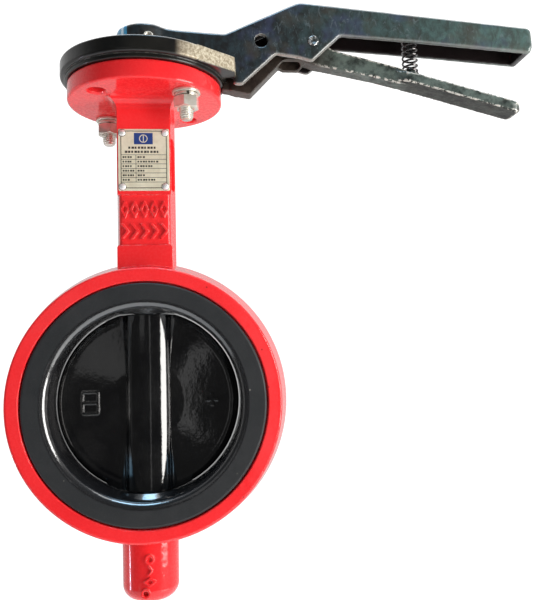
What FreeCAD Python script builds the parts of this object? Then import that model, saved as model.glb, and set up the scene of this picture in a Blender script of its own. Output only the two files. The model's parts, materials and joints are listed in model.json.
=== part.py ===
"""Hand-lever butterfly valve, wafer pattern, DN100, with a rubber-lined ductile iron body.

Frame: origin where the pipe axis crosses the stem axis, +Z up the stem, +Y along the pipe,
+X the way the lever points when the valve is closed. Millimetres.
"""
import FreeCAD, Part
import math
import os

V = FreeCAD.Vector
TURN = 360.0
X_AXIS, Y_AXIS, Z_AXIS = V(1, 0, 0), V(0, 1, 0), V(0, 0, 1)

# ---- driving dimensions -------------------------------------------------------------------
FACE_TO_FACE = 52.0          # over the rubber faces, EN 558 series 20 for DN100
PORT_R = 52.3                # bore of the liner
DISC_R = 52.0                # sphere that the disc's edge turns in

# body ring
RING_FACE_Y = 25.4           # iron face, a little behind the rubber face
RING_FACE_R = 74.8
RING_MID_R = 80.2            # draft grows the ring towards its middle plane
RECESS_R = 67.2              # recess for the liner's face flange
LINER_FLANGE_R = 66.35
LINER_FLANGE_T = 6.0
LINER_OUT_R = 58.5           # body bore behind the liner
LINER_LIP, LINER_EDGE = 4.6, 1.4   # roundings of the rubber face at its bore and at its rim
RING_EDGE = 1.6

# neck, flange and boss
NECK_HALF_FRONT = 14.2
NECK_HALF_MID = 17.0
NECK_FRONT_Y = 14.0
PAD_FRONT_Y = 14.8           # raised pads on the neck's front and back
LOWER_PAD_HALF, LOWER_PAD_TOP = 15.5, 88.7
UPPER_PAD_HALF, UPPER_PAD_Z = 15.2, (117.5, 168.0)
SIDE_POCKET_Y, SIDE_POCKET_Z = (-11.5, -1.5), (121.0, 152.0)
SIDE_POCKET_FLOOR = 13.6
FLANGE_R, FLANGE_Z = 45.0, (173.8, 184.3)
ROOT_FLARE = 7.0
BOLT_PCD = 70.0              # ISO 5211 F07
BOLT_HOLE_R = 4.75
BOSS_R, BOSS_END_Z = 15.7, -109.9
PIT_RING = (-1.6, -103.4)    # X and Z of the pitted ring on the boss
MARK_PITCH, MARK_ROWS = 5.5, (109.0, 96.6)

# stem and its seats
STEM_R = 8.0
STEM_FLAT = 12.5             # double-D across flats in the disc
STEM_LOW_R = 6.2
STEM_END_Z = -96.5
STEM_SHOULDER_Z, STEM_TOP_Z = 195.9, 217.0
SQUARE = 11.0                # square at the stem's top
RUN = 0.06                   # radial running clearance of a journal
TIGHT = 0.02                 # the same for a pin or screw that stays put
BUSH_R = 11.0
UPPER_BUSH_Z, MIDDLE_BUSH_Z = (146.0, 176.0), (62.0, 88.0)
LOW_BUSH_R, BOTTOM_BUSH_Z = 9.0, (-94.0, -62.0)
LOW_BORE_END_Z = -98.0
COUNTERBORE_R, COUNTERBORE_Z = 14.0, 178.3
RING_GROOVE_R, RING_Z, RING_T = 6.9, 178.7, 1.5
O_RING_Z, O_RING_WIRE_R = (166.0, 171.0), 0.95

# disc
LAND_Z, LAND_R = 49.8, 16.5  # flat sealing lands round the stem in the liner, with 45 degree sides
HUB_END_Z = 49.5
RIB_HALF_X, RIB_EDGE_Y = 11.0, 9.55    # edges of the rib's crown
RIB_CROWN_R, RIB_PEAK_Y = 17.5, 17.7   # crown's radius, and where its end tangents meet
DRIVE_TOP_Z, DRIVE_END_Z = 18.0, -45.0

# notch plate
PLATE_R, PLATE_STEP_R = 48.9, 46.6
PLATE_Z, PLATE_STEP_Z = (184.3, 195.7), 186.7
NOTCH_PITCH, NOTCH_COUNT = 15.0, 7
NOTCH_HALF, NOTCH_FLOOR_R = 4.4, 45.0
EAR_TANGENT, EAR_TIP, EAR_STOP = (31.6, -37.3), (52.5, -21.0), (53.4, -12.4)

# lever
LEVER_HALF = 12.0
CAVITY_HALF = 8.5
LEVER_Z0 = 196.5
HUB_R, HUB_TOP_Z = 16.5, 218.0
PIVOT = (100.1, 210.3)
PIVOT_R = 2.6
LOCK_HOLE, LOCK_HOLE_R = (69.0, 209.9), 3.9
HUB_SCREW_ANGLE, HUB_SCREW_Z, HUB_SCREW_R = -78.0, 209.2, 3.0

# trigger and spring
ARM_HALF, TOOTH_HALF, GRIP_HALF = 5.0, 4.0, 8.4
LUG_X, LUG_Z = (78.4, 96.0), 197.0
SPRING_X, SPRING_R, SPRING_IN_R = 162.0, 5.0, 3.7
SPRING_Z = (195.3, 222.4)

# M8 fasteners
M8_R, M8_AF = 4.0, 13.0
HEAD_H, NUT_H, WASHER_T, WASHER_R, SPRING_WASHER_T = 5.3, 6.5, 1.6, 8.0, 2.0
SPRING_WASHER_R = 6.8
HEAD_SINK = 3.0              # depth of the spot faces that sink the heads into the plate
SPOT_FACE_R = 8.6
BOLT_LENGTH = 37.0

# nameplate
NAMEPLATE_HALF, NAMEPLATE_Z, NAMEPLATE_T = 14.4, (119.6, 155.3), 0.6
RIVET_IN = 2.3               # rivet centres from the plate's edges
RIVET_R, RIVET_RISE, RIVET_HOLE_R = 1.95, 1.2, 1.05

HALF_FACE = FACE_TO_FACE / 2
HEAD_SEAT_Z = PLATE_Z[1] - HEAD_SINK
HEAD_Z = HEAD_SEAT_Z + WASHER_T
SPRING_WASHER_Z = FLANGE_Z[0] - WASHER_T - SPRING_WASHER_T
NUT_Z = SPRING_WASHER_Z - NUT_H
BOLT_AT = BOLT_PCD / 2 / math.sqrt(2)
USED_HOLES = ((BOLT_AT, -BOLT_AT), (-BOLT_AT, BOLT_AT))
ALL_HOLES = USED_HOLES + ((BOLT_AT, BOLT_AT), (-BOLT_AT, -BOLT_AT))


# ---- shape helpers ------------------------------------------------------------------------
def xz(u, v, depth=0.0):
    return V(u, depth, v)


def xy(u, v, height=0.0):
    return V(u, v, height)


def yz(u, v, forward=0.0):
    return V(forward, u, v)


def outline(corners, place, level=0.0):
    """Closed face through (u, v, radius) corners, each rounded by an arc of its own radius."""
    edges, first_start, last_end = [], None, None
    count = len(corners)
    for i, (u, v, radius) in enumerate(corners):
        corner = V(u, v, 0)
        before = (V(*corners[i - 1][:2], 0) - corner).normalize()
        after = (V(*corners[(i + 1) % count][:2], 0) - corner).normalize()
        start = end = corner
        if radius > 0:
            half = before.getAngle(after) / 2
            start = corner + before * (radius / math.tan(half))
            end = corner + after * (radius / math.tan(half))
            inward = (before + after).normalize()
            middle = corner + inward * (radius / math.sin(half) - radius)
        if last_end is None:
            first_start = start
        else:
            edges.append(Part.LineSegment(place(last_end.x, last_end.y, level),
                                          place(start.x, start.y, level)).toShape())
        if radius > 0:
            edges.append(Part.Arc(place(start.x, start.y, level), place(middle.x, middle.y, level),
                                  place(end.x, end.y, level)).toShape())
        last_end = end
    edges.append(Part.LineSegment(place(last_end.x, last_end.y, level),
                                  place(first_start.x, first_start.y, level)).toShape())
    return Part.Face(Part.Wire(edges))


def side_prism(corners, y0, y1):
    """Outline in X and Z, extruded along Y."""
    return outline(corners, xz, y0).extrude(V(0, y1 - y0, 0))


def plan_prism(corners, z0, z1):
    """Outline in X and Y, extruded along Z."""
    return outline(corners, xy, z0).extrude(V(0, 0, z1 - z0))


def cylinder(radius, z0, z1, x=0.0, y=0.0):
    return Part.makeCylinder(radius, z1 - z0, V(x, y, z0), Z_AXIS)


def cross_cylinder(radius, y0, y1, x, z):
    return Part.makeCylinder(radius, y1 - y0, V(x, y0, z), Y_AXIS)


def tube(outer, inner, z0, z1, x=0.0, y=0.0):
    return cylinder(outer, z0, z1, x, y).cut(cylinder(inner, z0, z1, x, y))


def block(x0, x1, y0, y1, z0, z1):
    return Part.makeBox(x1 - x0, y1 - y0, z1 - z0, V(x0, y0, z0))


def fuse(shapes):
    return shapes[0].multiFuse(shapes[1:]).removeSplitter()


def turned_about_pipe(corners):
    """Profile of (radius, y, corner radius) turned about the pipe axis."""
    return outline(corners, lambda r, y, level: V(r, y, 0)).revolve(V(), Y_AXIS, TURN)


def turned_about_stem(corners):
    """Profile of (radius, z, corner radius) turned about the stem axis."""
    return outline(corners, lambda r, z, level: V(r, 0, z)).revolve(V(), Z_AXIS, TURN)


def hex_prism(across_flats, z0, z1, x, y):
    """Hexagon with its corners turned down at both ends."""
    reach = across_flats / math.sqrt(3)
    sides = [V(x + reach * math.cos(math.radians(60 * k)), y + reach * math.sin(math.radians(60 * k)), z0)
             for k in range(6)]
    prism = Part.Face(Part.makePolygon(sides + sides[:1])).extrude(V(0, 0, z1 - z0))
    crown = reach - across_flats / 2
    turned = cylinder(reach, z0, z1, x, y)
    return prism.common(turned.makeChamfer(crown * 0.55, turned.Edges[0:1] + turned.Edges[2:3]))


def rounded(shape, radius, wanted):
    """Fillets the edges whose bounding box passes the test."""
    return shape.makeFillet(radius, [e for e in shape.Edges if wanted(e.BoundBox)])


# ---- body ---------------------------------------------------------------------------------
def ring_blank():
    return turned_about_pipe([
        (40.0, -RING_FACE_Y, 0), (RING_FACE_R, -RING_FACE_Y, RING_EDGE), (RING_MID_R, 0.0, 12.0),
        (RING_FACE_R, RING_FACE_Y, RING_EDGE), (40.0, RING_FACE_Y, 0)])


def liner_space():
    """Everything the liner and the port take out of the ring, with the recess edge broken."""
    floor = HALF_FACE - LINER_FLANGE_T
    lip = 0.5
    return turned_about_pipe([
        (0.0, -RING_FACE_Y, 0), (RECESS_R + lip, -RING_FACE_Y, 0),
        (RECESS_R, -RING_FACE_Y + lip, 0), (RECESS_R, -floor, 0),
        (LINER_OUT_R, -floor, 0), (LINER_OUT_R, floor, 0), (RECESS_R, floor, 0),
        (RECESS_R, RING_FACE_Y - lip, 0), (RECESS_R + lip, RING_FACE_Y, 0),
        (0.0, RING_FACE_Y, 0)])


def neck_pad(half, z0, z1):
    return side_prism([(-half, z0, 0), (half, z0, 0), (half, z1, 1.5), (-half, z1, 1.5)],
                      -PAD_FRONT_Y, PAD_FRONT_Y)


def neck():
    corner = 2.2
    column = plan_prism([
        (-NECK_HALF_FRONT, -NECK_FRONT_Y, corner), (NECK_HALF_FRONT, -NECK_FRONT_Y, corner),
        (NECK_HALF_MID, 0, 3.0), (NECK_HALF_FRONT, NECK_FRONT_Y, corner),
        (-NECK_HALF_FRONT, NECK_FRONT_Y, corner), (-NECK_HALF_MID, 0, 3.0)], 60.0, FLANGE_Z[0] + 2)
    pads = [neck_pad(LOWER_PAD_HALF, 60.0, LOWER_PAD_TOP), neck_pad(UPPER_PAD_HALF, *UPPER_PAD_Z)]
    solid = fuse([column] + pads)
    (y0, y1), (z0, z1) = SIDE_POCKET_Y, SIDE_POCKET_Z
    for side in (-1, 1):
        depth = side * (NECK_HALF_MID + 5 - SIDE_POCKET_FLOOR)
        slot = outline([(y0, z0, 4.5), (y1, z0, 4.5), (y1, z1, 4.5), (y0, z1, 4.5)],
                       yz, side * SIDE_POCKET_FLOOR)
        solid = solid.cut(slot.extrude(V(depth, 0, 0)))
    return solid


def flange():
    disc = cylinder(FLANGE_R, *FLANGE_Z)
    return disc.makeFillet(1.4, disc.Edges[0:1] + disc.Edges[2:3])


def flare(half):
    """Upright section that curves outwards by ROOT_FLARE as it meets the flange."""
    top = FLANGE_Z[0]
    wide = half + ROOT_FLARE
    return [(-half, 160.0, 0), (half, 160.0, 0), (half, top, ROOT_FLARE - 0.1), (wide, top, 0),
            (wide, top + 2, 0), (-wide, top + 2, 0), (-wide, top, 0), (-half, top, ROOT_FLARE - 0.1)]


def neck_root():
    """Hollow-cornered flare from the neck into the underside of the flange, clear of the washers."""
    across = side_prism(flare(UPPER_PAD_HALF), -30.0, 30.0)
    along = outline(flare(PAD_FRONT_Y), yz, -30.0).extrude(V(60.0, 0, 0))
    solid = across.common(along)
    for x, y in ALL_HOLES:
        solid = solid.cut(cylinder(SPOT_FACE_R, 150.0, FLANGE_Z[0], x, y))
    return solid


def boss():
    return turned_about_stem([(0, BOSS_END_Z, 0), (BOSS_R, BOSS_END_Z, 7.5),
                              (BOSS_R + 0.3, -60.0, 0), (0, -60.0, 0)])


def lozenge(x, z, half_wide, half_high, y0, y1):
    return side_prism([(x - half_wide, z, 0.4), (x, z - half_high, 0.4),
                       (x + half_wide, z, 0.4), (x, z + half_high, 0.4)], y0, y1)


def lozenge_frame(x, z, half_wide, half_high, y0, y1):
    inside = lozenge(x, z, half_wide * 0.45, half_high * 0.45, y0 - 1, y1 + 1)
    return lozenge(x, z, half_wide, half_high, y0, y1).cut(inside)


def chevron(x, z, size, y0, y1):
    """Raised arrow head that points to +X, of three strokes' width."""
    stroke = size * 0.42
    return side_prism([
        (x - size / 2, z - size, 0.3), (x - size / 2 + stroke, z - size, 0.3),
        (x + size / 2 + stroke / 2, z, 0.3), (x - size / 2 + stroke, z + size, 0.3),
        (x - size / 2, z + size, 0.3), (x + size / 2 - stroke / 2, z, 0.3)], y0, y1)


def round_frame(x, z, outer, inner, y0, y1):
    return cross_cylinder(outer, y0, y1, x, z).cut(cross_cylinder(inner, y0 - 1, y1 + 1, x, z))


def neck_marks():
    """Plain raised foundry marks in two rows on the neck."""
    face, proud = -NECK_FRONT_Y, 1.4
    places = [(k - 2) * MARK_PITCH for k in range(5)]
    marks = [lozenge_frame(x, MARK_ROWS[0], 2.6, 5.3, face - proud, face + 1) for x in places]
    return marks + [chevron(x - 0.6, MARK_ROWS[1], 4.4, face - proud, face + 1) for x in places]


def boss_marks():
    """A column of plain raised marks down the boss, with a pitted ring at its foot."""
    deep, proud = -BOSS_R + 3.0, -BOSS_R - 1.2
    return [round_frame(0.6, -85.0, 2.6, 1.4, proud, deep), chevron(0.6, -91.0, 2.6, proud, deep),
            lozenge_frame(0.6, -97.2, 3.6, 2.6, proud, deep),
            round_frame(*PIT_RING, 2.7, 1.5, proud, deep)]


def body_casting():
    solid = fuse([ring_blank(), neck(), neck_root(), flange(), boss()] + neck_marks() + boss_marks())
    solid = solid.cut(liner_space())
    cuts = [cross_cylinder(1.3, -BOSS_R - 1, -BOSS_R + 2.5, *PIT_RING),
            cylinder(BUSH_R, 40.0, COUNTERBORE_Z + 1), cylinder(COUNTERBORE_R, COUNTERBORE_Z, FLANGE_Z[1]),
            cylinder(LOW_BUSH_R, LOW_BORE_END_Z, -40.0)]
    for x, y in ALL_HOLES:
        cuts.append(cylinder(BOLT_HOLE_R, FLANGE_Z[0] - 1, FLANGE_Z[1] + 1, x, y))
        cuts.append(Part.makeCone(BOLT_HOLE_R + 1.0, BOLT_HOLE_R, 1.0, V(x, y, FLANGE_Z[0]), Z_AXIS))
    for cut in cuts:
        solid = solid.cut(cut)
    return solid


# ---- liner and disc -----------------------------------------------------------------------
def seat_liner():
    floor = HALF_FACE - LINER_FLANGE_T
    sleeve = turned_about_pipe([
        (PORT_R, -HALF_FACE, LINER_LIP), (LINER_FLANGE_R, -HALF_FACE, LINER_EDGE),
        (LINER_FLANGE_R, -floor, 0),
        (LINER_OUT_R, -floor, 0), (LINER_OUT_R, floor, 0), (LINER_FLANGE_R, floor, 0),
        (LINER_FLANGE_R, HALF_FACE, LINER_EDGE), (PORT_R, HALF_FACE, LINER_LIP)])
    rise = PORT_R + 1.0 - LAND_Z
    lands = []
    for side in (-1, 1):
        lands.append(Part.makeCone(LAND_R, LAND_R + rise, rise, V(0, 0, side * LAND_Z), V(0, 0, side)))
    solid = fuse([sleeve] + lands)
    solid = solid.cut(cylinder(STEM_R + RUN, 40.0, 62.0))
    return solid.cut(cylinder(STEM_LOW_R + RUN, -62.0, -40.0))


def disc_plate():
    """Dished plate, thickest beside the hub, with a rounded sealing edge."""
    return turned_about_pipe([
        (0, -6.2, 0), (20.0, -6.2, 30.0), (46.5, -3.8, 6.0), (48.8, -3.8, 1.5), (DISC_R - 0.05, -1.6, 1.6),
        (DISC_R - 0.05, 1.6, 1.6), (48.8, 3.8, 1.5), (46.5, 3.8, 6.0), (20.0, 6.2, 30.0), (0, 6.2, 0)])


def disc_hub():
    """Rib on both faces around the stem: a low round crown, and concave flanks that run into the plate."""
    toe, root, level = 24.0, RIB_HALF_X + 1.6, 3.6
    half = [(-toe, -level, 0), (-root, -level, 6.0), (-RIB_HALF_X, -RIB_EDGE_Y, 1.2),
            (0, -RIB_PEAK_Y, RIB_CROWN_R), (RIB_HALF_X, -RIB_EDGE_Y, 1.2), (root, -level, 6.0),
            (toe, -level, 0)]
    return plan_prism(half + [(-x, -y, r) for x, y, r in half], -HUB_END_Z, HUB_END_Z)


def stem_drive(radius, flat, z0, z1):
    """Round bar with two flats that face along the pipe."""
    return cylinder(radius, z0, z1).common(block(-radius, radius, -flat / 2, flat / 2, z0, z1))


def disc_marks():
    """Raised frame with a bar on one side of the disc, and a plain cross on the other."""
    front, back = -5.6, -3.6
    frame = side_prism([(-37.6, -6.8, 1.6), (-27.4, -6.8, 1.6), (-27.4, 6.8, 1.6), (-37.6, 6.8, 1.6)],
                       front - 0.9, back)
    inside = side_prism([(-36.2, -5.4, 1.0), (-28.8, -5.4, 1.0), (-28.8, 5.4, 1.0), (-36.2, 5.4, 1.0)],
                        front - 1.5, back)
    bar = block(-36.4, -28.6, front - 0.9, back, -0.8, 0.8)
    cross = [block(33.0, 40.0, front - 0.3, back, -0.9, 0.9), block(35.6, 37.4, front - 0.3, back, -3.6, 3.6)]
    return [frame.cut(inside), bar] + cross


def disc():
    solid = fuse([disc_plate(), disc_hub()] + disc_marks())
    solid = solid.common(Part.makeSphere(DISC_R))
    solid = solid.common(block(-60, 60, -60, 60, -HUB_END_Z, HUB_END_Z))
    solid = solid.cut(cylinder(STEM_R + RUN, DRIVE_TOP_Z, 60.0))
    return solid.cut(stem_drive(STEM_R + RUN, STEM_FLAT + RUN, -60.0, DRIVE_TOP_Z + 1))


# ---- stem and its seats -------------------------------------------------------------------
def stem():
    half = SQUARE / 2
    parts = [cylinder(STEM_R, DRIVE_TOP_Z, STEM_SHOULDER_Z),
             stem_drive(STEM_R, STEM_FLAT, DRIVE_END_Z, DRIVE_TOP_Z + 1),
             cylinder(STEM_LOW_R, STEM_END_Z, DRIVE_END_Z + 1)]
    square = block(-half, half, -half, half, STEM_SHOULDER_Z - 1, STEM_TOP_Z)
    square = square.common(turned_about_stem([(0, STEM_SHOULDER_Z - 1, 0), (STEM_R, STEM_SHOULDER_Z - 1, 0),
                                              (STEM_R, STEM_TOP_Z - 2.5, 0), (half - 0.3, STEM_TOP_Z, 0),
                                              (0, STEM_TOP_Z, 0)]))
    solid = fuse(parts + [square])
    groove = tube(STEM_R + 1, RING_GROOVE_R, RING_Z - 0.05, RING_Z + RING_T + 0.05)
    return solid.cut(groove)


def upper_bush():
    solid = tube(BUSH_R, STEM_R + RUN, *UPPER_BUSH_Z)
    for z in O_RING_Z:
        solid = solid.cut(tube(STEM_R + RUN + 2 * O_RING_WIRE_R, STEM_R, z - 1.1, z + 1.1))
    return solid


def middle_bush():
    return tube(BUSH_R, STEM_R + RUN, *MIDDLE_BUSH_Z)


def bottom_bush():
    return tube(LOW_BUSH_R, STEM_LOW_R + RUN, *BOTTOM_BUSH_Z)


def thrust_pad():
    return cylinder(LOW_BUSH_R - 0.2, LOW_BORE_END_Z, STEM_END_Z - 0.3)


def stem_o_rings():
    centre = STEM_R + RUN + O_RING_WIRE_R
    return [Part.makeTorus(centre, O_RING_WIRE_R, V(0, 0, z), Z_AXIS) for z in O_RING_Z]


def retaining_ring():
    """Split ring in the stem's groove, under the retainer washer."""
    ring = tube(11.2, RING_GROOVE_R + TIGHT, RING_Z, RING_Z + RING_T)
    return ring.cut(block(0, 15, -2.6, 2.6, RING_Z - 1, RING_Z + RING_T + 1))


def retainer_washer():
    return tube(COUNTERBORE_R - 0.1, STEM_R + 0.4, RING_Z + RING_T + 0.3, FLANGE_Z[1])


# ---- notch plate --------------------------------------------------------------------------
def plate_ear(swap):
    """Stop ear: straight from its tangent point to the tip, then back to the stop face."""
    root = (40.0, EAR_STOP[1])
    points = [(*EAR_TANGENT, 0), (*EAR_TIP, 1.0), (*EAR_STOP, 0.6), (*root, 0), (20.0, -28.0, 0)]
    if swap:
        points = [(y, x, r) for x, y, r in points]
    return plan_prism(points, PLATE_STEP_Z, PLATE_Z[1])


def notch_plate():
    low, high = PLATE_Z
    blank = turned_about_stem([(0, low, 0), (PLATE_STEP_R, low, 0.6), (PLATE_STEP_R, PLATE_STEP_Z, 0),
                               (PLATE_R, PLATE_STEP_Z, 1.6), (PLATE_R, high, 1.2), (0, high, 0)])
    solid = fuse([blank, plate_ear(False), plate_ear(True)])
    for step in range(NOTCH_COUNT):
        notch = block(NOTCH_FLOOR_R, 60.0, -NOTCH_HALF, NOTCH_HALF, low - 1, high + 1)
        notch.rotate(V(), Z_AXIS, step * NOTCH_PITCH)
        solid = solid.cut(notch)
    solid = solid.cut(cylinder(STEM_R + 0.8, low - 1, high + 1))
    for x, y in ALL_HOLES:
        solid = solid.cut(cylinder(BOLT_HOLE_R, low - 1, high + 1, x, y))
    for x, y in USED_HOLES:
        solid = solid.cut(cylinder(SPOT_FACE_R, HEAD_SEAT_Z, high + 1, x, y))
    return solid


# ---- fasteners ----------------------------------------------------------------------------
def plate_bolts():
    bolts = []
    for x, y in USED_HOLES:
        shank = cylinder(M8_R, HEAD_Z - BOLT_LENGTH, HEAD_Z + 1, x, y)
        shank = shank.makeChamfer(0.9, shank.Edges[2:3])
        bolts.append(shank.fuse(hex_prism(M8_AF, HEAD_Z, HEAD_Z + HEAD_H, x, y)).removeSplitter())
    return bolts


def head_washers():
    return [tube(WASHER_R, M8_R + 0.2, HEAD_SEAT_Z, HEAD_Z, x, y) for x, y in USED_HOLES]


def flange_washers():
    return [tube(WASHER_R, M8_R + 0.2, FLANGE_Z[0] - WASHER_T, FLANGE_Z[0], x, y) for x, y in USED_HOLES]


def spring_washers():
    low, high = SPRING_WASHER_Z, SPRING_WASHER_Z + SPRING_WASHER_T
    return [tube(SPRING_WASHER_R, M8_R + 0.2, low, high, x, y).cut(
        block(x - 0.6, x + 0.6, y - 10, y, low - 1, high + 1)) for x, y in USED_HOLES]


def plate_nuts():
    return [hex_prism(M8_AF, NUT_Z, NUT_Z + NUT_H, x, y).cut(
        cylinder(M8_R + 0.02, NUT_Z - 1, NUT_Z + NUT_H + 1, x, y)) for x, y in USED_HOLES]


# ---- nameplate ----------------------------------------------------------------------------
def rivet_places():
    z0, z1 = NAMEPLATE_Z
    return [(x, z) for x in (-NAMEPLATE_HALF + RIVET_IN, NAMEPLATE_HALF - RIVET_IN)
            for z in (z0 + RIVET_IN, z1 - RIVET_IN)]


def nameplate():
    z0, z1 = NAMEPLATE_Z
    half = NAMEPLATE_HALF
    sheet = side_prism([(-half, z0, 0.8), (half, z0, 0.8), (half, z1, 0.8), (-half, z1, 0.8)],
                       -PAD_FRONT_Y - NAMEPLATE_T, -PAD_FRONT_Y)
    for x, z in rivet_places():
        sheet = sheet.cut(cross_cylinder(RIVET_HOLE_R, -PAD_FRONT_Y - 2, -PAD_FRONT_Y, x, z))
    return sheet


def nameplate_rivets():
    ball_r = (RIVET_R ** 2 + RIVET_RISE ** 2) / (2 * RIVET_RISE)
    front = -PAD_FRONT_Y - NAMEPLATE_T
    rivets = []
    for x, z in rivet_places():
        ball = Part.makeSphere(ball_r, V(x, front - RIVET_RISE + ball_r, z))
        dome = ball.common(block(x - 5, x + 5, front - 5, front, z - 5, z + 5))
        rivets.append(dome.fuse(cross_cylinder(RIVET_HOLE_R - 0.05, front, -PAD_FRONT_Y, x, z)).removeSplitter())
    return rivets


# ---- lever --------------------------------------------------------------------------------
def lever_profile():
    """Side view of the hub, arm and channel handle: along the bottom, round the end, back on top."""
    return side_prism([
        (-20.0, LEVER_Z0, 0), (51.8, LEVER_Z0, 0), (51.8, 183.4, 2.4), (57.6, 183.4, 2.4),
        (77.8, 201.9, 1.5), (91.8, 199.8, 3.0), (99.4, 197.8, 3.0), (116.8, 213.7, 3.0),
        (162.2, 210.7, 30.0), (234.3, 204.9, 1.8), (235.9, 209.0, 4.0), (235.2, 220.7, 3.5),
        (91.7, 234.3, 10.0), (47.5, 214.2, 5.0), (18.0, 216.2, 6.0), (8.0, HUB_TOP_Z, 6.0),
        (-20.0, HUB_TOP_Z, 0)], -HUB_R - 1, HUB_R + 1)


def lever_plan():
    """Plan view of the round hub running into the straight arm."""
    arm = block(0, 240.0, -LEVER_HALF, LEVER_HALF, 180.0, 240.0)
    solid = cylinder(HUB_R, 180.0, 240.0).fuse(arm).removeSplitter()
    crease = [e for e in solid.Edges if e.BoundBox.ZLength > 50 and 10 < e.CenterOfMass.x < 13]
    return solid.makeFillet(7.0, crease)


def lever_cavity():
    """Space between the two walls, open below and towards the plate."""
    return side_prism([
        (40.0, 170.0, 0), (40.0, 198.2, 0), (52.0, 198.2, 3.0), (58.5, 204.0, 3.0), (58.5, 214.8, 3.0),
        (92.4, 230.2, 6.0), (230.8, 217.1, 2.5), (230.8, 170.0, 0)], -CAVITY_HALF, CAVITY_HALF)


def lever_handle():
    solid = lever_profile().common(lever_plan())
    solid = rounded(solid, 2.2, lambda b: b.ZMax > 213.0 and b.ZMin > 203.5
                    and (b.XMin < -10.0 or abs(b.Center.y) > LEVER_HALF - 4.5))
    solid = solid.cut(lever_cavity())
    half = SQUARE / 2 + 0.1
    solid = solid.cut(block(-half, half, -half, half, LEVER_Z0 - 1, HUB_TOP_Z + 1))
    seat = cylinder(SPRING_R + 0.8, SPRING_Z[1], 226.0, SPRING_X)
    peg = cylinder(SPRING_IN_R - 0.4, SPRING_Z[1] - 3.5, 226.0, SPRING_X)
    solid = fuse([solid, seat, peg])
    solid = solid.cut(cross_cylinder(LOCK_HOLE_R, -20, 20, *LOCK_HOLE))
    solid = solid.cut(cross_cylinder(PIVOT_R + TIGHT, -20, 20, *PIVOT))
    return solid.cut(hub_screw_bar(0.0, 30.0, HUB_SCREW_R + TIGHT))


def hub_screw_bar(start, end, radius):
    angle = math.radians(HUB_SCREW_ANGLE)
    outward = V(math.cos(angle), math.sin(angle), 0)
    return Part.makeCylinder(radius, end - start, outward * start + V(0, 0, HUB_SCREW_Z), outward)


def hub_screw():
    """Set screw with a hexagon socket, its end against the stem's square."""
    start, end = 6.6, HUB_R + 1.6
    screw = hub_screw_bar(start, end, HUB_SCREW_R)
    screw = screw.makeChamfer(0.8, screw.Edges[0:1] + screw.Edges[2:3])
    return screw.cut(hub_screw_bar(end - 3.0, end + 1, 1.5))


def pivot_pin():
    """Cross pin with both ends peened over."""
    shank = cross_cylinder(PIVOT_R, -LEVER_HALF, LEVER_HALF, *PIVOT)
    heads = []
    for side in (-1, 1):
        base = V(PIVOT[0], side * LEVER_HALF, PIVOT[1])
        heads.append(Part.makeCone(PIVOT_R + 0.8, PIVOT_R + 0.2, 0.7, base, V(0, side, 0)))
    return fuse([shank] + heads)


# ---- trigger and spring -------------------------------------------------------------------
def trigger_arm():
    """Side view of the latch arm, pivot boss and front bar, from the tooth to the grip."""
    return side_prism([
        (50.8, 182.3, 0.8), (62.6, 180.2, 1.2), (82.6, 200.9, 5.0), (89.6, 202.9, 6.0), (101.0, 198.7, 8.0),
        (139.0, 191.2, 30.0), (152.4, 187.8, 8.0), (166.0, 187.0, 2.0), (166.0, 192.6, 2.0),
        (153.5, 197.6, 20.0), (111.5, 208.2, 8.0), (104.0, 219.0, 7.0), (93.0, 219.0, 8.0),
        (70.5, 202.5, 12.0), (58.8, 191.0, 4.0), (50.8, 191.8, 0.8)], -ARM_HALF, ARM_HALF)


def trigger_lug():
    """Slanted lug under the pivot, lower on its rear side, with an oblong pocket in it."""
    x0, x1 = LUG_X
    section = [(-ARM_HALF, 204.0, 0), (-ARM_HALF, 202.0, 0), (ARM_HALF, LUG_Z, 0), (ARM_HALF, 204.0, 0)]
    wedge = outline(section, yz, x0).extrude(V(x1 - x0, 0, 0))
    side = side_prism([(x0, 199.5, 0), (x0 + 5, LUG_Z, 2.0), (x1 - 4, LUG_Z, 1.5), (x1, 201.0, 0),
                       (x1, 204.0, 0), (x0, 204.0, 0)], -ARM_HALF, ARM_HALF)
    return wedge.common(side)


def lug_pocket():
    x0, x1 = LUG_X[0] + 2.2, LUG_X[1] - 2.6
    half, end = 3.0, 2.9
    return plan_prism([(x0, -half, end), (x1, -half, end), (x1, half, end), (x0, half, end)],
                      LUG_Z - 2, LUG_Z + 8.5)


def trigger_tooth():
    return side_prism([(45.4, 183.2, 1.0), (54.0, 181.7, 0.8), (54.0, 191.6, 0.8), (45.4, 191.6, 1.0)],
                      -TOOTH_HALF, TOOTH_HALF)


def trigger_grip():
    """Broad finger plate: the side view's slope and the plan view's outline together."""
    side = side_prism([
        (150.0, 189.6, 2.0), (166.0, 185.9, 30.0), (226.5, 169.2, 1.5), (229.5, 171.2, 2.0),
        (227.5, 175.4, 2.5), (166.0, 192.1, 30.0), (150.0, 195.9, 2.0)], -GRIP_HALF - 1, GRIP_HALF + 1)
    plan = plan_prism([
        (148.0, -3.5, 0), (151.0, -ARM_HALF, 4.0), (158.0, -GRIP_HALF, 6.0), (229.5, -GRIP_HALF, 6.5),
        (229.5, GRIP_HALF, 6.5), (158.0, GRIP_HALF, 6.0), (151.0, ARM_HALF, 4.0), (148.0, 3.5, 0)],
        160.0, 205.0)
    return side.common(plan)


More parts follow.
